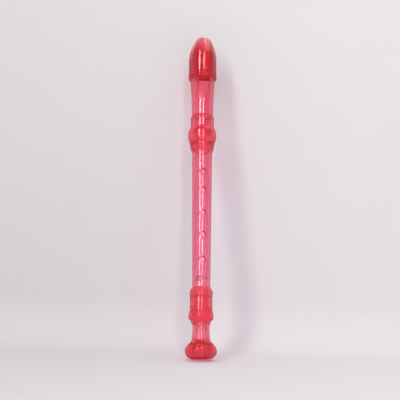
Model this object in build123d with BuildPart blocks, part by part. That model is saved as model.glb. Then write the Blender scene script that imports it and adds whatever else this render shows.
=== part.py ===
from build123d import *
import os
from math import cos, radians, sin, tan

# Soprano recorder in three joints: head, middle and foot.
# Z runs up the bore from the end of the foot, and the finger holes face -Y. Millimetres.
# Sizes ending in _d are diameters, those ending in _h or _length run along Z.

# Fits between the pieces
tenon_fit = 0.05           # radial room between a tenon and its socket
seat_fit = 0.05            # room around the pieces that are pressed together in the head
seam = 0.2                 # fine open line between two joints
socket_room = 0.4          # past the end of a tenon
tenon_lead = 0.6           # chamfer on the end of a tenon

# Fine turned lines between the beads
line_depth = 0.4
line_h = 0.5

# Bore, from the beak down
head_bore_d = 14.5
middle_bore_top_d = 13.6
middle_bore_end_d = 11.4
foot_bore_d = 10.8
mouth_d = 18.0             # opening of the bell
mouth_h = 7.0

# Tenons of the middle joint
upper_tenon_d = 17.2
upper_tenon_length = 16.5
lower_tenon_d = 14.8
lower_tenon_length = 19.0

# Foot joint, heights stacked from the bell up
rest_d = 22.6              # outer edge of the flat end that it stands on
bell_d = 30.9
bell_crown = 5.8           # widest line of the bell, above the flat end
bell_h = 11.0
bell_edge_d = 27.8         # upper edge of the bell's rim
bell_ledge = 0.9           # from that edge in to the dome
dome_h = 2.9
dome_round = 0.45          # how far the dome bulges past a straight slope
dome_top_d = 22.8          # edge between the dome and the cove
cove_h = 3.3
cove_round = 0.3           # how far the cove lies inside a straight slope
flare_d = 18.0             # foot of the waist, above the cove
waist_d = 16.4             # under the small bead, where the waist is narrowest
waist_h = 14.9
waist_bead_d = 19.0
waist_bead_h = 2.9
bulge_neck_d = 18.3
bulge_taper_h = 2.8
bulge_low_d = 24.0
bulge_d = 24.6
bulge_top_d = 23.4
bulge_h = 5.6
step_bead_d = 23.3
step_bead_h = 1.8
barrel_low_d = 22.2
barrel_top_d = 21.9
barrel_h = 13.4
fine_bead_d = 22.2
fine_bead_h = 1.6
top_bead_d = 22.9
top_bead_h = 4.2
cone_low_d = 22.3
top_cone_h = 3.8
foot_edge_d = 18.4

# Middle joint
middle_low_d = 17.7
middle_top_d = 20.4
collar_d = 24.8
collar_edge_d = 23.6
collar_h = 9.0
collar_bead_h = 3.4        # bead at the collar's upper face
collar_line_d = 24.1       # upper end of the collar's cone, below that bead
collar_round = 0.35        # how far the cone bulges past a straight one

# Finger holes: down from the middle joint's upper face, then from hole to hole
hole_1_down = 31.6
hole_pitches = [19.2, 23.1, 22.2, 25.2, 19.0]
hole_6_up = 8.2            # from the lower face to the double hole
thumb_hole_up = 13.5       # thumb hole above hole 1
hole_diameters = [4.9, 5.2, 4.7, 4.9, 5.2]
thumb_hole_d = 5.2
hole_dish = 0.9            # how far the dished rim reaches past the hole
dish_angle = 110
dish_start = 0.3           # start of the dish's cone, clear of the wall
large_twin_d = 3.6
small_twin_d = 2.9
twin_angle = 21            # each hole of a pair, to the side of the front line
foot_hole_down = 4.6       # double hole of the foot, below the small bead

# Head joint, heights stacked from its lower face up
head_edge_d = 24.6
chin_h = 4.2
socket_edge_d = 27.9       # both ends of the swelling's barrel
socket_d = 28.6
socket_h = 7.8
shoulder_h = 4.2
band_low_d = 24.0
band_top_d = 23.7
band_h = 8.9
bead_d = 24.2
bead_h = 3.2
bead_step = 0.6            # flat step from the bead in to the tube
tube_d = 21.7
tube_flare_d = 25.2        # upper end of the tube, under the beak
tube_h = 41.5

# Voicing
window_width = 10.8
window_h = 3.9             # from the windway's end to the edge of the lip
ramp_length = 20.5
lip_edge = 0.35            # thickness of the lip at its edge
lip_run = 4.0              # flat stretch behind the lip
lip_fade = 6.0             # where that flat runs out into the bore
windway_h = 1.1
windway_rise = 0.3         # roof of the windway above the outer side of the lip
block_chamfer = 0.5

# Beak
spigot_d = 20.6            # collar of the head tube inside the beak
spigot_h = 8.0
key_width = 13.2           # the beak's key, in a slot through that collar
beak_d = 28.4
ring_proud = 0.3           # each ring past the beak's wall
ring_groove = 0.45         # depth of the lines beside the rings
ring_h = 2.7               # each of the two rings at the beak's lower rim
beak_length = 43.4
beak_crown_h = 22.0        # upper stretch, which narrows to the tip
beak_side_radius = 34.0    # curve of that stretch, seen from the front
crown_shares = (0, 0.2, 0.4, 0.6, 0.8, 1)
tip_front = 10.3           # outer side of the tip, forward of the axis
tip_back = 4.6             # inner side of the tip, forward of the axis
tip_rear = 1.0             # back of the crown's last section, before the hollow is cut
tip_nose = 1.0             # rounding across the tip
beak_cut_h = 31.0          # height of the hollow back
beak_cut_sag = 4.2         # how far it dips behind a straight cut
beak_edge = 1.4            # rounding along its sides

# Levels along the axis
bell_top = bell_h
dome_top = bell_top + dome_h
waist_low = dome_top + cove_h
waist_top = waist_low + waist_h
waist_bead_top = waist_top + waist_bead_h
bulge_low = waist_bead_top + bulge_taper_h
bulge_top = bulge_low + bulge_h
barrel_low = bulge_top + step_bead_h
barrel_top = barrel_low + barrel_h
fine_bead_top = barrel_top + fine_bead_h
top_bead_top = fine_bead_top + top_bead_h
foot_top = top_bead_top + top_cone_h

middle_low = foot_top + seam
middle_length = hole_1_down + sum(hole_pitches) + hole_6_up
middle_top = middle_low + middle_length
collar_low = middle_top - collar_h

head_low = middle_top + seam
socket_low = head_low + chin_h
socket_high = socket_low + socket_h
socket_top = socket_high + shoulder_h
band_top = socket_top + band_h
bead_top = band_top + bead_h
head_top = bead_top + tube_h

beak_low = head_top + seat_fit
beak_tip = beak_low + beak_length
crown_low = beak_tip - beak_crown_h
cut_low = beak_tip - beak_cut_h
ring_d = beak_d + 2 * ring_proud
ring_groove_d = beak_d - 2 * ring_groove

# Forward reach of the voicing's flat surfaces, from the axis towards -Y
lip_inside = head_bore_d / 2
lip_outside = lip_inside + lip_edge
roof_reach = lip_outside + windway_rise
floor_reach = roof_reach - windway_h
lip_level = head_top - window_h
ramp_low = lip_level - ramp_length


def middle_radius(z):
    """Outer radius of the middle joint's plain tube at height z."""
    share = (z - middle_low) / (collar_low - middle_low)
    return (middle_low_d + share * (middle_top_d - middle_low_d)) / 2


def wall_plane(radius, z, turn):
    """Plane on the tube's wall, facing out, turned about Z from the front line."""
    out = (sin(radians(turn)), -cos(radians(turn)), 0)
    side = (cos(radians(turn)), sin(radians(turn)), 0)
    return Plane(origin=(radius * out[0], radius * out[1], z), x_dir=side, z_dir=out)


def ring(start, diameter, end):
    """Rounded ring between two points of an outline, widest halfway up."""
    return ThreePointArc(start, (diameter / 2, (start.Y + end[1]) / 2), end)


def finger_hole(radius, z, diameter, turn=0):
    """One drilled hole with a shallow dished rim, from the wall to the axis, turned from the front line."""
    start_r = diameter / 2 + hole_dish + dish_start * tan(radians(dish_angle / 2))
    with Locations(wall_plane(radius + dish_start, z, turn)):
        CounterSinkHole(diameter / 2, start_r, radius + dish_start, dish_angle)


def twin_holes(radius, z):
    """Double hole: the larger one on the left, the smaller one on the right."""
    for turn, diameter in ((-twin_angle, large_twin_d), (twin_angle, small_twin_d)):
        finger_hole(radius, z, diameter, turn)


# Foot joint
with BuildPart() as foot_pipe:
    with BuildSketch(Plane.XZ):
        with BuildLine():
            rest = Line((mouth_d / 2, 0), (rest_d / 2, 0))
            rim = ThreePointArc(rest @ 1, (bell_d / 2, bell_crown), (bell_edge_d / 2, bell_top))
            ledge = Line(rim @ 1, (bell_edge_d / 2 - bell_ledge, bell_top))
            dome = SagittaArc(ledge @ 1, (dome_top_d / 2, dome_top), -dome_round)
            cove = SagittaArc(dome @ 1, (flare_d / 2, waist_low), cove_round)
            waist = TangentArc((waist_d / 2, waist_top), cove @ 1, tangent=(0, -1))
            small_bead = ring(waist @ 0, waist_bead_d, (bulge_neck_d / 2, waist_bead_top))
            taper = Line(small_bead @ 1, (bulge_low_d / 2, bulge_low))
            bulge = ring(taper @ 1, bulge_d, (bulge_top_d / 2 - line_depth, bulge_top))
            step_bead = ring(bulge @ 1, step_bead_d, (barrel_low_d / 2 - line_depth, barrel_low))
            barrel = Polyline(
                step_bead @ 1,
                (barrel_low_d / 2, barrel_low + line_h),
                (barrel_top_d / 2, barrel_top - line_h),
                (barrel_top_d / 2 - line_depth, barrel_top),
            )
            fine_bead = ring(barrel @ 1, fine_bead_d, (barrel_top_d / 2 - line_depth, fine_bead_top))
            top_bead = ring(fine_bead @ 1, top_bead_d, (cone_low_d / 2 - line_depth, top_bead_top))
            cone = Polyline(
                top_bead @ 1,
                (cone_low_d / 2, top_bead_top + line_h),
                (foot_edge_d / 2, foot_top),
            )
            socket_r = lower_tenon_d / 2 + tenon_fit
            socket_end = foot_top - lower_tenon_length - socket_room
            inside = Polyline(
                cone @ 1,
                (socket_r + tenon_lead, foot_top),
                (socket_r, foot_top - tenon_lead),
                (socket_r, socket_end),
                (foot_bore_d / 2, socket_end),
                (foot_bore_d / 2, mouth_h),
            )
            TangentArc(inside @ 1, rest @ 0, tangent=(0, -1))
        make_face()
    revolve(axis=Axis.Z)
    twin_holes(waist_d / 2, waist_top - foot_hole_down)
foot_pipe.part.label = "foot_pipe"

# Middle joint
with BuildPart() as middle_pipe:
    with BuildSketch(Plane.XZ):
        with BuildLine():
            bore_top = (middle_bore_top_d / 2, middle_top + upper_tenon_length)
            bore_end = (middle_bore_end_d / 2, middle_low - lower_tenon_length)
            upper_r = upper_tenon_d / 2
            lower_r = lower_tenon_d / 2
            outside = Polyline(
                bore_end,
                (lower_r - tenon_lead, bore_end[1]),
                (lower_r, bore_end[1] + tenon_lead),
                (lower_r, middle_low),
                (middle_low_d / 2, middle_low),
                (middle_top_d / 2, collar_low),
            )
            collar_line = middle_top - collar_bead_h
            collar = SagittaArc(outside @ 1, (collar_line_d / 2, collar_line - line_h), -collar_round)
            notch = Line(collar @ 1, (collar_line_d / 2 - line_depth, collar_line))
            collar_bead = ring(notch @ 1, collar_d, (collar_edge_d / 2, middle_top))
            Polyline(
                collar_bead @ 1,
                (upper_r, middle_top),
                (upper_r, bore_top[1] - tenon_lead),
                (upper_r - tenon_lead, bore_top[1]),
                bore_top,
                bore_end,
            )
        make_face()
    revolve(axis=Axis.Z)
    hole_z = middle_top - hole_1_down
    thumb_z = hole_z + thumb_hole_up
    finger_hole(middle_radius(thumb_z), thumb_z, thumb_hole_d, turn=180)
    for pitch, diameter in zip(hole_pitches, hole_diameters):
        finger_hole(middle_radius(hole_z), hole_z, diameter)
        hole_z -= pitch
    twin_holes(middle_radius(hole_z), hole_z)
middle_pipe.part.label = "middle_pipe"

# Head tube with its socket, window and ramp
with BuildPart() as head_pipe:
    with BuildSketch(Plane.XZ):
        with BuildLine():
            socket_r = upper_tenon_d / 2 + tenon_fit
            socket_end = middle_top + upper_tenon_length + socket_room
            face = Line((socket_r + tenon_lead, head_low), (head_edge_d / 2, head_low))
            swell_low = Vector(socket_edge_d / 2, socket_low)
            swell = ring(swell_low, socket_d, (socket_edge_d / 2, socket_high))
            TangentArc(swell @ 0, face @ 1, tangent=(swell % 0) * -1)
            shoulder = TangentArc(swell @ 1, (band_low_d / 2, socket_top), tangent=swell % 1)
            band = Polyline(
                shoulder @ 1,
                (band_top_d / 2, band_top - line_h),
                (band_top_d / 2 - line_depth, band_top),
            )
            bead = ring(band @ 1, bead_d, (tube_d / 2 + bead_step, bead_top))
            step = Line(bead @ 1, (tube_d / 2, bead_top))
            tube = TangentArc(step @ 1, (tube_flare_d / 2, head_top), tangent=(0, 1))
            Polyline(
                tube @ 1,
                (spigot_d / 2, head_top),
                (spigot_d / 2, head_top + spigot_h),
                (head_bore_d / 2, head_top + spigot_h),
                (head_bore_d / 2, socket_end),
                (socket_r, socket_end),
                (socket_r, head_low + tenon_lead),
                face @ 0,
            )
        make_face()
    revolve(axis=Axis.Z)
    # Window with its ramp, in one cut straight through the front wall
    with BuildSketch(Plane.YZ):
        with BuildLine():
            Polyline(
                (0, head_top),
                (0, lip_level),
                (-lip_outside, lip_level),
                (-tube_flare_d / 2, ramp_low),
                (-tube_flare_d, ramp_low),
                (-tube_flare_d, head_top),
                close=True,
            )
        make_face()
    extrude(amount=window_width / 2, both=True, mode=Mode.SUBTRACT)
    # Flat behind the lip, running out into the bore
    with BuildSketch(Plane.YZ):
        with BuildLine():
            Polyline(
                (0, lip_level),
                (-lip_inside, lip_level),
                (-lip_inside, lip_level - lip_run),
                (0, lip_level - lip_run - lip_fade),
                close=True,
            )
        make_face()
    extrude(amount=window_width / 2, both=True, mode=Mode.SUBTRACT)
    # Slot through the spigot for the beak's key
    with BuildSketch(Plane.XY.offset(head_top)):
        with Locations((0, -spigot_d / 2)):
            Rectangle(key_width + 2 * seat_fit, spigot_d)
    extrude(amount=spigot_h, mode=Mode.SUBTRACT)
head_pipe.part.label = "head_pipe"

# Outer form of the beak, shared by the beak's shell and the block
with BuildPart() as beak_form:
    with BuildSketch(Plane.XZ):
        with BuildLine():
            base = Line((0, beak_low), (ring_groove_d / 2, beak_low))
            ring_1 = ring(base @ 1, ring_d, (ring_groove_d / 2, beak_low + ring_h))
            ring_2 = ring(ring_1 @ 1, ring_d, (ring_groove_d / 2, beak_low + 2 * ring_h))
            Polyline(
                ring_2 @ 1,
                (beak_d / 2, beak_low + 2 * ring_h),
                (beak_d / 2, crown_low),
                (0, crown_low),
                (0, beak_low),
            )
        make_face()
    revolve(axis=Axis.Z)
    # Crown, narrowing to the tip and leaning forward
    for share in crown_shares:
        rise = share * beak_crown_h
        half_width = beak_d / 2 - beak_side_radius + (beak_side_radius**2 - rise**2) ** 0.5
        front = beak_d / 2 - share**2 * (beak_d / 2 - tip_front)
        back = beak_d / 2 - share**2 * (beak_d / 2 + tip_rear)
        with BuildSketch(Plane.XY.offset(crown_low + rise)):
            with Locations((0, (back - front) / 2)):
                Ellipse(half_width, (front + back) / 2)
    loft()
    # Hollow back, cut through from side to side
    with BuildSketch(Plane.YZ):
        with BuildLine():
            hollow = SagittaArc((-tip_back, beak_tip), (ring_d / 2, cut_low), -beak_cut_sag)
            Polyline(hollow @ 1, (ring_d / 2, beak_tip), hollow @ 0)
        make_face()
    extrude(amount=ring_d, both=True, mode=Mode.SUBTRACT)
    hollow_face = beak_form.faces().filter_by(GeomType.CYLINDER).sort_by(Axis.Z)[-1]
    fillet(hollow_face.edges().sort_by(Axis.Z)[:-1], beak_edge)
    fillet(beak_form.faces().sort_by(Axis.Z)[-1].edges(), tip_nose)

# Beak shell, with the windway's roof
with BuildPart() as beak_cap:
    add(beak_form.part)
    with BuildSketch(Plane.XY.offset(beak_low)):
        Circle(spigot_d / 2 + seat_fit)
        with Locations((0, -spigot_d / 2)):
            Rectangle(key_width, spigot_d, mode=Mode.SUBTRACT)
    extrude(amount=spigot_h + seat_fit, mode=Mode.SUBTRACT)
    with BuildSketch(Plane.XY.offset(beak_low)):
        Circle(head_bore_d / 2)
        with Locations((0, -roof_reach / 2)):
            Rectangle(window_width, roof_reach)
    extrude(amount=beak_length, mode=Mode.SUBTRACT)
beak_cap.part.label = "beak_cap"

# Block, with the windway's floor
with BuildPart() as block:
    with BuildSketch(Plane.XY.offset(beak_low)):
        Circle(head_bore_d / 2 - seat_fit)
        with Locations((0, -floor_reach / 2)):
            Rectangle(window_width - 2 * seat_fit, floor_reach)
        with Locations((0, -floor_reach - head_bore_d / 2)):
            Rectangle(head_bore_d, head_bore_d, mode=Mode.SUBTRACT)
    extrude(amount=beak_length)
    floor_end = block.edges().filter_by(Axis.X).group_by(Axis.Z)[0].sort_by(Axis.Y)[0]
    chamfer(floor_end, block_chamfer)
    add(beak_form.part, mode=Mode.INTERSECT)
block.part.label = "block"

os.makedirs("parts", exist_ok=True)
for piece in (head_pipe, beak_cap, block, middle_pipe, foot_pipe):
    export_step(piece.part, f"parts/{piece.part.label}.step")
    print(piece.part.label, len(piece.part.solids()), round(piece.part.volume))
print("overall length", round(beak_tip, 1))
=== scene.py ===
# %% [markdown]
# # A soprano recorder in clear pink plastic
# The solids of the recorder come ready-made from its CAD model: a head with a beak, a block and a
# window, a middle joint with the finger holes, and a foot with a bell. This lesson gives them the
# look of the real thing. Nearly all of that look is light passing through tinted plastic, so the
# lesson is about glass-like shading: what bends the light, what colours it, and what dulls it.

# %% Load the solids
from math import cos, exp, pi, radians, sin

import bpy
from mathutils import Matrix, Vector

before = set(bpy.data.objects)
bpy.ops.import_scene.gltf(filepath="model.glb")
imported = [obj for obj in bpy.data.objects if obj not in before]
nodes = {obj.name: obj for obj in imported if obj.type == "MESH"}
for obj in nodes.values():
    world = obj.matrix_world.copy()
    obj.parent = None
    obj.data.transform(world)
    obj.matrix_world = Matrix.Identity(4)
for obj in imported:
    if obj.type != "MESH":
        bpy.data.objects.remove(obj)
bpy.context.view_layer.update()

scene = bpy.context.scene
scene.view_settings.view_transform = "Standard"
print("solids:", ", ".join(sorted(nodes)))

# %% [markdown]
# ## The camera
# In the photograph the recorder stands on its foot and leans back, so the camera looks up along it:
# the rings near the beak curve upwards much more than those near the foot. A camera could be set by
# eye, but the outline of a turned object gives it away. Its distance, height, tilt and lens were
# fitted to the width of the outline in every row of the picture.

# %% Lens
focal_pixels = 981.2
image_width = 400
sensor_mm = 36

camera = bpy.data.objects.new("camera", bpy.data.cameras.new("camera"))
scene.collection.objects.link(camera)
scene.camera = camera
camera.data.sensor_width = sensor_mm
camera.data.lens = focal_pixels / image_width * sensor_mm
camera.data.clip_start = 0.01
print("lens, mm:", round(camera.data.lens, 1))

# %% Aim of the camera
cam_distance = 0.950
cam_height = -0.104
cam_turn = radians(8.0)        # to the left of the line of finger holes
cam_pan = radians(-0.109)
cam_tilt = radians(15.40)
cam_roll = radians(0.412)

ahead = cam_turn + cam_pan
forward = Vector((sin(ahead) * cos(cam_tilt), cos(ahead) * cos(cam_tilt), sin(cam_tilt)))
level = forward.cross(Vector((0, 0, 1))).normalized()
upward = level.cross(forward)
right = level * cos(cam_roll) + upward * sin(cam_roll)
above = upward * cos(cam_roll) - level * sin(cam_roll)
camera.matrix_world = Matrix.Translation(
    (-cam_distance * sin(cam_turn), -cam_distance * cos(cam_turn), cam_height)
) @ Matrix((right, above, -forward)).transposed().to_4x4()
print("camera looks along", [round(v, 3) for v in forward])

# %% [markdown]
# ## Light in nested clear walls
# At each joint a clear tenon sits in a clear socket, and a line of sight goes through the front and
# the back of both. Every surface on the way costs a ray one bounce, and a ray that runs out of
# bounces turns black. Hiding the inner walls would save bounces, but their deeper colour is what
# shows the joint in the photograph. So the limit is raised instead.

# %% Light bounces
bounce_limit = 24
scene.cycles.max_bounces = bounce_limit
scene.cycles.transmission_bounces = bounce_limit
print("light bounces:", bounce_limit)

# %% [markdown]
# ## The floor and the wall
# The solids stand upright in their own frame, and the picture's floor is level in the world, so the
# floor is tilted here instead of the recorder. One sheet is bent into a floor, a soft corner and a
# wall, as a photographer hangs paper. It is the back edge of the foot that touches the floor.

# %% Outline of the sheet
floor_front = -0.9
wall_back = 0.093
wall_top = 1.6
corner_radius = 0.05
corner_steps = 12

profile = [(floor_front, 0.0)]
for step in range(corner_steps + 1):
    turn = step / corner_steps * pi / 2
    back = wall_back - corner_radius + corner_radius * sin(turn)
    profile.append((back, corner_radius * (1 - cos(turn))))
profile.append((wall_back, wall_top))
print("points along the sheet:", len(profile))

# %% Backdrop sheet
lean = radians(14.0)
foot_edge = Vector((0, 0.0113, 0))
sheet_half = 1.1

points = []
for side in (-sheet_half, sheet_half):
    for back, up in profile:
        y = back * cos(lean) - up * sin(lean)
        z = back * sin(lean) + up * cos(lean)
        points.append(foot_edge + Vector((side, y, z)))
count = len(profile)
faces = [(i, i + count, i + count + 1, i + 1) for i in range(count - 1)]
sheet_mesh = bpy.data.meshes.new("backdrop")
sheet_mesh.from_pydata(points, [], faces)
sheet_mesh.polygons.foreach_set("use_smooth", [True] * len(faces))
backdrop = bpy.data.objects.new("backdrop", sheet_mesh)
scene.collection.objects.link(backdrop)
print("backdrop faces:", len(faces))
print("the floor faces", [round(v, 2) for v in sheet_mesh.polygons[0].normal])

# %% [markdown]
# ## Writing shaders as sums
# A material is a web of nodes, which is tedious to build call by call. This small class holds one
# socket. Python's own operators on it add the Math nodes, so that `1 - mask * 0.3` means what it
# says, and `node` adds any other kind: first its settings, then what goes into its sockets.

# %% Socket class
class Wire:
    """One output socket of a node tree, with Python's operators."""

    def __init__(self, tree, socket=None):
        self.tree = tree
        self.socket = socket

    def node(self, kind, settings=None, inputs=None, out=0):
        """Adds a node, sets it up, fills its sockets and returns one of its outputs."""
        made = self.tree.nodes.new(kind)
        for name, value in (settings or {}).items():
            if name == "stops":
                ramp = made.color_ramp.elements
                ramp.remove(ramp[1])
                ramp[0].position = value[0][0]
                ramp[0].color = value[0][1]
                for place, shade in value[1:]:
                    ramp.new(place).color = shade
            else:
                setattr(made, name, value)
        for name, value in (inputs or {}).items():
            if isinstance(value, Wire):
                self.tree.links.new(value.socket, made.inputs[name])
            else:
                made.inputs[name].default_value = value
        return Wire(self.tree, made.outputs[out] if made.outputs else None)

    def math(self, operation, *values):
        return self.node("ShaderNodeMath", {"operation": operation}, dict(enumerate(values)))

    def __add__(self, other):
        return self.math("ADD", self, other)

    __radd__ = __add__

    def __sub__(self, other):
        return self.math("SUBTRACT", self, other)

    def __rsub__(self, other):
        return self.math("SUBTRACT", other, self)

    def __mul__(self, other):
        return self.math("MULTIPLY", self, other)

    __rmul__ = __mul__

    def __abs__(self):
        return self.math("ABSOLUTE", self)

    def between(self, low, high):
        """0 below low, 1 above high, and a smooth rise in between."""
        settings = {"interpolation_type": "SMOOTHSTEP"}
        return self.node("ShaderNodeMapRange", settings, {0: self, 1: low, 2: high})


print("shader sums ready")

# %% [markdown]
# ## Colours, vectors and blots
# A Math node turns a colour grey, so colours are blended with a Mix node and places are worked on
# with Vector Math. Noise gives soft blots anywhere in space. It needs no picture and no flat map of
# the piece, which suits a tube that has no natural seam.

# %% Colours and vectors
# Numbers of a Mix node's sockets, which share their names with its sockets for values
mix_share = 0
mix_first = 6
mix_second = 7
mix_colour = 2


def blend(share, first, second):
    """Mixes two colours: the first where share is 0, the second where it is 1."""
    sockets = {mix_share: share, mix_first: first, mix_second: second}
    return share.node("ShaderNodeMix", {"data_type": "RGBA"}, sockets, out=mix_colour)


def vector_math(operation, first, second, out="Vector"):
    """One Vector Math node."""
    return first.node("ShaderNodeVectorMath", {"operation": operation}, {0: first, 1: second}, out)


def split(vector):
    """X, Y and Z of a vector, as three wires."""
    parts = vector.node("ShaderNodeSeparateXYZ", inputs={0: vector}).socket.node.outputs
    return [Wire(vector.tree, part) for part in parts]


def blots(vector, scale, detail):
    """Soft random blots."""
    return vector.node("ShaderNodeTexNoise", inputs={"Vector": vector, "Scale": scale, "Detail": detail})


def new_material(name):
    """An empty material and a Wire to start its nodes from."""
    material = bpy.data.materials.new(name)
    material.use_nodes = True
    material.node_tree.nodes.clear()
    return material, Wire(material.node_tree)


print("colours, vectors and blots ready")

# %% [markdown]
# ## Paper for the backdrop
# Matt paper, a pale grey that grows paler from left to right, so that the background's brightness
# follows the photograph. The change is painted light, darker on the left and lighter on the right.
# A plain colour would do, but paper has a faint mottle. Seen from behind, the sheet would hide the
# recorder, so the Backfacing output mixes in a clear shader there.

# %% Backdrop paper
# Painted light: the paper is darker on the left and lighter on the right
shaded_left_paper = (0.66, 0.635, 0.655, 1)
lit_right_paper = (0.84, 0.81, 0.825, 1)
paper_reach = 0.3              # how far from the recorder the change of colour goes
mottle_share = 0.05

paper, wire = new_material("backdrop_paper")
place = wire.node("ShaderNodeTexCoord", out="Object")
painted_light_across = split(place)[0].between(-paper_reach, paper_reach)
mottle = blots(place, scale=9.0, detail=4.0)
shade = painted_light_across * (1 - mottle_share) + mottle * mottle_share
matt = wire.node(
    "ShaderNodeBsdfPrincipled",
    inputs={
        "Base Color": blend(shade, shaded_left_paper, lit_right_paper),
        "Roughness": 0.9,
        "Specular IOR Level": 0.1,
    },
)
gone = wire.node("ShaderNodeBsdfTransparent")
behind = wire.node("ShaderNodeNewGeometry", out="Backfacing")
surface = wire.node("ShaderNodeMixShader", inputs={0: behind, 1: matt, 2: gone})
wire.node("ShaderNodeOutputMaterial", inputs={"Surface": surface})
backdrop.data.materials.append(paper)
print("backdrop material:", paper.name)

# %% [markdown]
# ## Lamps
# Each tube in the photograph has two thin bright lines from end to end. They are the reflections of
# two tall lamps, and a reflection tells where its lamp is: the surface halfway between the camera
# and the lamp faces both equally. A large soft lamp overhead fills in the rest. Painting the lines
# on would be simpler, but they would stay in place when the view or the light changes.

# %% Lamp maker
recorder_middle = Vector((0, 0, 0.165))


def soft_lamp(name, turn, rise, distance, width, height, radiance):
    """Rectangular lamp aimed at the middle of the recorder, turned from its front towards +X."""
    lamp = bpy.data.lights.new(name, "AREA")
    lamp.shape = "RECTANGLE"
    lamp.size = width
    lamp.size_y = height
    lamp.energy = radiance * pi * width * height
    holder = bpy.data.objects.new(name, lamp)
    scene.collection.objects.link(holder)
    around = radians(turn)
    lift = radians(rise)
    out = Vector((sin(around) * cos(lift), -cos(around) * cos(lift), sin(lift)))
    holder.location = recorder_middle + out * distance
    holder.rotation_mode = "QUATERNION"
    holder.rotation_quaternion = out.to_track_quat("Z", "Y")
    print(name, "radiance", radiance, "power, W", round(lamp.energy, 2))


print("lamps aim at", tuple(round(v, 3) for v in recorder_middle))

# %% Three lamps
soft_lamp("left_strip", turn=-34, rise=20, distance=1.3, width=0.17, height=0.85, radiance=13.0)
soft_lamp("right_strip", turn=2, rise=20, distance=1.3, width=0.11, height=0.80, radiance=13.5)
soft_lamp("overhead", turn=60, rise=60, distance=1.5, width=1.2, height=1.2, radiance=0.8)

# %% [markdown]
# ## The room
# Clear plastic shows the room that it stands in, so the world has two jobs: to give an even light,
# and to be seen. Light Path tells them apart. Rays from the camera, from gloss and through the
# plastic meet a pale room that darkens overhead. All other rays meet a plain dim white. In this way
# the look of the room can be set without changing the light on the paper.

# %% World for seeing and for light
world = bpy.data.worlds.new("studio")
scene.world = world
world.use_nodes = True
world.node_tree.nodes.clear()
sky = Wire(world.node_tree)
camera_ray, glossy_ray, clear_ray = [
    sky.node("ShaderNodeLightPath", out="Is " + kind + " Ray")
    for kind in ("Camera", "Glossy", "Transmission")
]
looking = camera_ray + glossy_ray + clear_ray
seen = sky.math("MINIMUM", looking, 1.0)
print("rays that see the room: camera, glossy, transmission")

# %% Pale room
room_low = (0.80, 0.785, 0.795, 1)
room_high = (0.22, 0.215, 0.22, 1)
floor_up = (0, -sin(lean), cos(lean))
even_light = (0.98, 0.99, 1.0, 1)
even_strength = 0.50

toward = sky.node("ShaderNodeTexCoord", out="Generated")
rise = vector_math("DOT_PRODUCT", toward, floor_up, out="Value")
room = blend(rise.between(0.05, 0.6), room_low, room_high)
shown = sky.node("ShaderNodeBackground", inputs={"Color": room, "Strength": 1.0})
ambient = sky.node("ShaderNodeBackground", inputs={"Color": even_light, "Strength": even_strength})
mixed = sky.node("ShaderNodeMixShader", inputs={0: seen, 1: ambient, 2: shown})
sky.node("ShaderNodeOutputWorld", inputs={"Surface": mixed})
print("world:", world.name)

# %% [markdown]
# ## Dye in clear plastic
# The recorder is moulded from clear plastic with a dye in it. Painting the surface pink would make
# thin and thick walls the same colour, and the photograph shows the opposite: the tubes are rose
# pink, and where two walls overlap or the beak is solid the colour is a deep red. So the surface
# stays nearly white, and a Volume Absorption inside takes away green and blue along the way. The
# three dyes were chosen against the colours in the photograph.

# %% Dyes
middle_dye = (1.0, 0.0, 0.48, 1)
end_dye = (1.0, 0.0, 0.38, 1)
beak_dye = (0.84, 0.0, 0.20, 1)
middle_density = 145.0
end_density = 150.0
beak_density = 170.0
sample_wall = 0.003

for name, colour, density in (
    ("middle", middle_dye, middle_density),
    ("ends", end_dye, end_density),
    ("beak", beak_dye, beak_density),
):
    left = [round(exp(-density * (1 - part) * sample_wall), 2) for part in colour[:3]]
    print(name, "dye: red, green, blue left after 3 mm:", left)

# %% [markdown]
# ## Streaks of the melt
# Molten plastic is pressed into the mould along the tube and sets with faint long streaks. They are
# blots of noise, drawn out along the tube by shrinking the height before it reaches the noise.

# %% Melt streaks
clean_tint = (1.0, 0.97, 0.99, 1)
streak_tint = (0.99, 0.93, 0.97, 1)
streak_shrink = 0.12


def drawn_out(place, share):
    """The place with its height shrunk, which draws blots out along the tube."""
    return vector_math("MULTIPLY", place, (1.0, 1.0, share))


def melt_streaks(place):
    """Mask of long soft streaks."""
    return blots(drawn_out(place, streak_shrink), scale=210.0, detail=3.0).between(0.35, 0.75)


print("melt streaks ready")

# %% [markdown]
# ## Dark turned lines
# Rings and beads meet in fine grooves. A groove bends light away, so each shows as a
# dark line. The grooves are there in the solids, but at this size most of their shade is lost. A
# colour ramp along the height paints it back as painted shade: three stops for each line, dark in the
# middle.

# %% Turned lines
# Colour of the painted shade in the grooves and at the hole edges
painted_shade_colour = (0.50, 0.14, 0.19, 1)
ramp_height = 0.34             # what the ramp covers, a little more than the recorder


def turned_lines(height, lines):
    """Mask of painted shade lines, from each one's level, how dark it is and how far it reaches."""
    stops = []
    for level, dark, reach in sorted(lines):
        for offset, shade in ((-reach, 0.0), (0.0, dark), (reach, 0.0)):
            stops.append(((level + offset) / ramp_height, (shade, shade, shade, 1)))
    return height.node("ShaderNodeValToRGB", {"stops": stops}, {"Fac": height * (1 / ramp_height)})


print("turned lines ready")

# %% [markdown]
# ## Edges of the finger holes
# The rim of each hole is dished, and its slope shows dark against the bright tube. That dark is
# painted shade: the distance from the hole's own axis, taken in X and Z alone, marks a disc straight
# through the tube. A second mask across the tube keeps it to the side that the hole is on.

# %% Hole edges
front = -1
rear = 1
dish_fade = 0.0009
past_axis = (0.001, 0.002)
large_twin = 0.0018
small_twin = 0.00145
large_dark = 0.3
small_dark = 0.1


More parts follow.
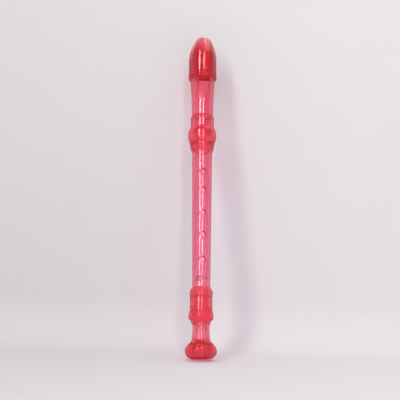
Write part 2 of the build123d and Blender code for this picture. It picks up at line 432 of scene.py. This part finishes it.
def hole_edges(place, painted_shade, holes):
    """Adds a disc of painted shade per hole, from its X, Z, radius, side of the tube and how dark it is.
    """
    across = split(place)[1]
    face_on = vector_math("MULTIPLY", place, (1.0, 0.0, 1.0))
    for x, z, radius, side, dark in holes:
        away = vector_math("DISTANCE", face_on, (x, 0, z), out="Value")
        disc = (1 - away.between(radius, radius + dish_fade)) * (across * side).between(*past_axis)
        painted_shade = painted_shade.math("MAXIMUM", painted_shade, disc * dark)
    return painted_shade


def twin_holes(aside, level):
    """A double hole: the larger one on the left, and a fainter, smaller one on the right."""
    return (
        (-aside, level, large_twin, front, large_dark),
        (aside, level, small_twin, front, small_dark),
    )


print("hole edges ready")

# %% [markdown]
# ## Handling
# A recorder lives in hands and bags. Fingers leave soft smudges, cleaning leaves fine scratches along
# the tube, and the beak and the end of the foot grow dull. None of it changes the colour, so it all
# goes into the roughness.

# %% Handling
scratch_shrink = 0.03
scratch_dulls = 0.04
wear_dulls = 0.10


def handling(place, polish, haze, wear):
    """Roughness of a wall: polish where clean, haze more where smudged, and dull between two heights."""
    smudge = blots(place, scale=75.0, detail=5.0)
    scratch = blots(drawn_out(place, scratch_shrink), scale=2600.0, detail=2.0)
    rough = polish + haze * smudge.between(0.5, 0.75) + scratch_dulls * scratch.between(0.64, 0.74)
    if wear:
        rough = rough + wear_dulls * split(place)[2].between(*wear)
    return rough


print("handling ready")

# %% [markdown]
# ## Marks of the mould
# A moulded wall is never quite flat, and the two halves of the mould leave a hair-thin line down
# both sides. Both are far finer than the solids' own forms, so a Bump node is enough for them.

# %% Mould relief
parting_edge = (0.00004, 0.00016)


def mould_relief(place):
    """Slight waviness, and the parting line on both sides."""
    parting = 1 - abs(split(place)[1]).between(*parting_edge)
    height = blots(place, scale=260.0, detail=2.0) + parting
    sockets = {"Strength": 0.05, "Distance": 0.00003, "Height": height}
    return place.node("ShaderNodeBump", inputs=sockets)


print("mould relief ready")

# %% [markdown]
# ## Cloud
# Even clear plastic scatters a little light inside its wall. That share of cloud looks like a strong
# pinkish red of its own. It grows in thick walls, in the painted shade of grooves and hole edges,
# and where a wall turns away from view, because the way through it is longer there. A dense Volume
# Scatter would do the same, but it is slow and noisy, so the cloud is a second shader that is mixed in.

# %% Cloud
cloud_colour = (0.99, 0.02, 0.035, 1)
deep_colour = (0.40, 0.005, 0.01, 1)
streak_cloud = 0.06
turned_cloud = 0.8
# cloud and deeper colour added where the groove and hole-edge shade is painted
painted_shade_cloud = 0.5


def wall_cloud(height, cloudiness, streak, turned, painted_shade, thick):
    """Share of cloud, and how deep its colour is. Each thick stretch of wall has two heights, a fade
    inside them, and what it adds to the share and to the depth."""
    share = cloudiness + streak_cloud * streak + turned_cloud * turned + painted_shade_cloud * painted_shade
    depth = painted_shade
    for low, high, fade, more_cloud, deeper in thick:
        wall = height.between(low, low + fade) - height.between(high - fade, high)
        share = share + more_cloud * wall
        depth = depth + deeper * wall
    return share, depth


print("cloud ready")

# %% [markdown]
# ## A face that was cut
# The ramp below the window is cut after moulding, so it is satin, while moulded walls are glossy. It
# is also tinted a deeper pink, which is painted shade of the window. It is part of the same solid as
# the tube. A mask from its place picks it out, where a second material would need its faces chosen one
# by one.

# %% Cut face
# Deeper tint of the cut face: painted shade of the window
cut_shade_colour = (0.90, 0.68, 0.78, 1)
cut_dulls = 0.38
ramp_fade = 0.003
lip_fade = 0.0006
side_fade = 0.0005
depth_fade = 0.0003


def cut_face(place, cut):
    """Mask of a cut, from its two heights, its half width and its least distance from the axis."""
    aside, across, height = split(place)
    low, high, half_width, out = cut
    face = height.between(low, low + ramp_fade) - height.between(high, high + lip_fade)
    face = face * (1 - abs(aside).between(half_width, half_width + side_fade))
    return face * (-1 * across).between(out - depth_fade, out)


print("cut face ready")

# %% [markdown]
# ## Two shaders in one wall
# The clear share of a wall bends light and carries a glossy coat. The cloudy share is plain colour
# with no gloss of its own. A lamp's light can't find its way through bending walls in a short render,
# so a shadow ray meets a thin tinted sheet instead. The sheet takes some red, because the dye takes
# green and blue on the same way, and the shadow in the photograph is nearly grey.

# %% Wall shaders
plastic_ior = 1.55
coat_rough = 0.02
shadow_tint = (0.75, 0.985, 0.93, 1)


def clear_wall(wire, tint, rough, gloss, relief):
    """The clear share of a wall."""
    return wire.node(
        "ShaderNodeBsdfPrincipled",
        inputs={
            "Base Color": tint,
            "Roughness": rough,
            "IOR": plastic_ior,
            "Transmission Weight": 1.0,
            "Coat Weight": gloss,
            "Coat Roughness": coat_rough,
            "Coat IOR": plastic_ior,
            "Normal": relief,
        },
    )


def cloudy_wall(wire, colour, rough, relief):
    """The cloudy share of a wall."""
    return wire.node(
        "ShaderNodeBsdfPrincipled",
        inputs={
            "Base Color": colour,
            "Roughness": rough,
            "IOR": plastic_ior,
            "Specular IOR Level": 0.0,
            "Normal": relief,
        },
    )


def with_shadow(wire, wall):
    """The wall as it is seen, and a tinted sheet for shadow rays."""
    sheet = wire.node("ShaderNodeBsdfTransparent", inputs={"Color": shadow_tint})
    shadow_ray = wire.node("ShaderNodeLightPath", out="Is Shadow Ray")
    return wire.node("ShaderNodeMixShader", inputs={0: shadow_ray, 1: wall, 2: sheet})


print("wall shaders ready")

# %% [markdown]
# ## The whole plastic
# Now the layers come together. Layer Weight's Facing tells how far a wall turns away from view. There
# the gloss fades and a dark rose takes over, as in the photograph, where every outline is deeper than
# the wall beside it. With gloss left on, the outline would mirror the pale room and look thin.

# %% Clear plastic
tube_rim = (0.64, 0.06, 0.11, 1)
turned_range = (0.55, 0.95)


def clear_plastic(
    name,
    dye,
    density,
    lines=(),
    thick=(),
    holes=(),
    cut=None,
    polish=0.02,
    haze=0.04,
    wear=None,
    cloudiness=0.12,
    gloss=0.8,
    rim=tube_rim,
):
    """Dyed clear plastic for one piece, from its dye, its marks and how clean and glossy it is."""
    material, wire = new_material(name)
    place = wire.node("ShaderNodeTexCoord", out="Object")
    height = split(place)[2]
    facing = wire.node("ShaderNodeLayerWeight", inputs={"Blend": 0.5}, out="Facing")
    turned = facing.between(*turned_range)

    streak = melt_streaks(place)
    tint = blend(streak, clean_tint, streak_tint)
    painted_shade = 0.0
    # Painted shade: dark turned lines and dark hole edges, in the tint and the cloud
    if lines:
        painted_shade = turned_lines(height, lines)
        if holes:
            painted_shade = hole_edges(place, painted_shade, holes)
        tint = blend(painted_shade, tint, painted_shade_colour)
    cloud, depth = wall_cloud(height, cloudiness, streak, turned, painted_shade, thick)
    colour = blend(turned, blend(depth, cloud_colour, deep_colour), rim)

    rough = handling(place, polish, haze, wear)
    shine = gloss - gloss * turned
    if cut:
        face = cut_face(place, cut)
        tint = blend(face, tint, cut_shade_colour)
        rough = rough + cut_dulls * face
        shine = shine * (1 - face)

    relief = mould_relief(place)
    clear = clear_wall(wire, tint, rough, shine, relief)
    cloudy = cloudy_wall(wire, colour, rough, relief)
    wall = wire.node("ShaderNodeMixShader", inputs={0: cloud, 1: clear, 2: cloudy})
    inside = wire.node("ShaderNodeVolumeAbsorption", inputs={"Color": dye, "Density": density})
    sockets = {"Surface": with_shadow(wire, wall), "Volume": inside}
    wire.node("ShaderNodeOutputMaterial", inputs=sockets)
    return material


print("clear plastic ready")

# %% [markdown]
# ## Dressing the solids
# Each solid takes one finish. Its own slot is emptied first, so that the new finish is the only one.

# %% Dressing
def dress(piece, finish):
    """Gives a solid its finish."""
    nodes[piece].data.materials.clear()
    nodes[piece].data.materials.append(finish)
    print(piece, "wears", finish.name, "with", len(finish.node_tree.nodes), "nodes")


print("pieces to dress:", len(nodes))

# %% [markdown]
# ## The head tube
# The head holds the lip, the thin edge that splits the breath, at the top of its cut ramp. Its lower
# end swells into a socket, where its own wall and the tenon inside it make a deeper red. The line on
# top of its bead is the darkest on the whole recorder. The levels of the lines are those of the
# grooves in the solid, in metres from the end of the foot.

# %% Head tube
# Level, how dark, reach
head_lines = (
    (0.2172, 0.2, 0.0008),      # lower face
    (0.2333, 0.5, 0.0008),      # top of the swelling
    (0.2414, 0.2, 0.0006),      # groove under the bead
    (0.2457, 1.0, 0.0011),      # top of the bead
)
# Lower end, upper end, fade, more cloud, deeper colour
head_socket = (0.2165, 0.2350, 0.002, 0.09, 0.15)
# Lower end, upper end, half width, distance from the axis
ramp_face = (0.2622, 0.2831, 0.0052, 0.0072)

head_plastic = clear_plastic(
    "head_plastic", end_dye, end_density, head_lines, (head_socket,), cut=ramp_face
)
dress("head_pipe", head_plastic)

# %% [markdown]
# ## The beak
# The beak is a thick shell with two rings at its lower rim. It is nearly solid towards the tip, so
# its colour is the deepest. Lips and teeth take the gloss off it, most of all near the tip.

# %% Beak
solid_rim = (0.55, 0.03, 0.05, 1)
beak_lines = (
    (0.2872, 0.1, 0.0008),      # lower rim
    (0.28965, 0.7, 0.0007),     # groove between the rings
    (0.29235, 0.7, 0.0007),     # groove above the rings
)
beak_rings = (0.2835, 0.2950, 0.001, 0.16, 0.0)
beak_shell = (0.2900, 0.3240, 0.012, 0.12, 0.30)

beak_plastic = clear_plastic(
    "beak_plastic",
    beak_dye,
    beak_density,
    beak_lines,
    (beak_rings, beak_shell),
    polish=0.03,
    haze=0.05,
    wear=(0.305, 0.335),
    cloudiness=0.09,
    gloss=0.3,
    rim=solid_rim,
)
dress("beak_cap", beak_plastic)

# %% [markdown]
# ## The block
# The block is the plug that makes the floor of the windway. It has no turned lines, and it sits deep
# in the beak, where it shows as a dark core. To match that, it is made rougher and cloudier than the
# shell around it. Its extra cloud and deeper colour are painted shade of that deep place.

# %% Block
# extra cloud and deeper colour here are painted shade
block_core = (0.2600, 0.3240, 0.012, 0.35, 0.10)

block_plastic = clear_plastic(
    "block_plastic", beak_dye, beak_density, thick=(block_core,), polish=0.35, wear=(0.30, 0.34)
)
dress("block", block_plastic)

# %% [markdown]
# ## The middle joint
# A plain tapered tube with a collar, five single holes and a double one in front, and a thumb hole
# at the back. Its thin wall is the palest pink, and only the collar is thick.

# %% Middle joint
single_dark = 0.6
middle_lines = (
    (0.2079, 0.15, 0.0008),     # lower edge of the collar
    (0.2135, 0.2, 0.0008),      # groove under the collar's bead
    (0.2168, 0.2, 0.0008),      # upper face
)
# Level, radius
front_holes = (
    (0.1853, 0.00245),
    (0.1661, 0.0026),
    (0.1430, 0.00235),
    (0.1208, 0.00245),
    (0.0956, 0.0026),
)
thumb_hole = (0.0, 0.1988, 0.0026, rear, single_dark)
middle_holes = [(0.0, level, radius, front, single_dark) for level, radius in front_holes]
middle_holes += [*twin_holes(0.0032, 0.0766), thumb_hole]
middle_collar = (0.2070, 0.2180, 0.002, 0.10, 0.05)

middle_plastic = clear_plastic(
    "middle_plastic", middle_dye, middle_density, middle_lines, (middle_collar,), middle_holes
)
dress("middle_pipe", middle_plastic)

# %% [markdown]
# ## The foot joint
# The foot has the most turning: a socket barrel between beads, a slim waist with a double hole, and a
# bell. The barrel is two walls thick and the bell is nearly solid, so both are redder than the waist.
# The end that it stands on is a little worn.

# %% Foot joint
foot_rim = (0.60, 0.04, 0.07, 1)
foot_lines = (
    (0.0105, 0.5, 0.0006),      # upper edge of the bell's rim
    (0.0129, 0.9, 0.0016),      # dome of the bell
    (0.0321, 0.15, 0.0008),     # under the small bead
    (0.0350, 0.2, 0.0008),      # over the small bead
    (0.0434, 0.15, 0.0008),     # groove over the swelling
    (0.0452, 0.15, 0.0008),     # lower end of the barrel
    (0.0586, 0.15, 0.0007),     # upper end of the barrel
    (0.0602, 0.15, 0.0008),     # groove over the fine bead
    (0.0644, 0.15, 0.0008),     # groove over the top bead
)
foot_bell = (-0.003, 0.0165, 0.002, 0.12, 0.25)
foot_barrel = (0.0340, 0.0690, 0.002, 0.10, 0.0)

foot_plastic = clear_plastic(
    "foot_plastic",
    end_dye,
    end_density,
    foot_lines,
    (foot_bell, foot_barrel),
    twin_holes(0.0029, 0.0275),
    wear=(0.004, -0.002),
    gloss=0.7,
    rim=foot_rim,
)
dress("foot_pipe", foot_plastic)
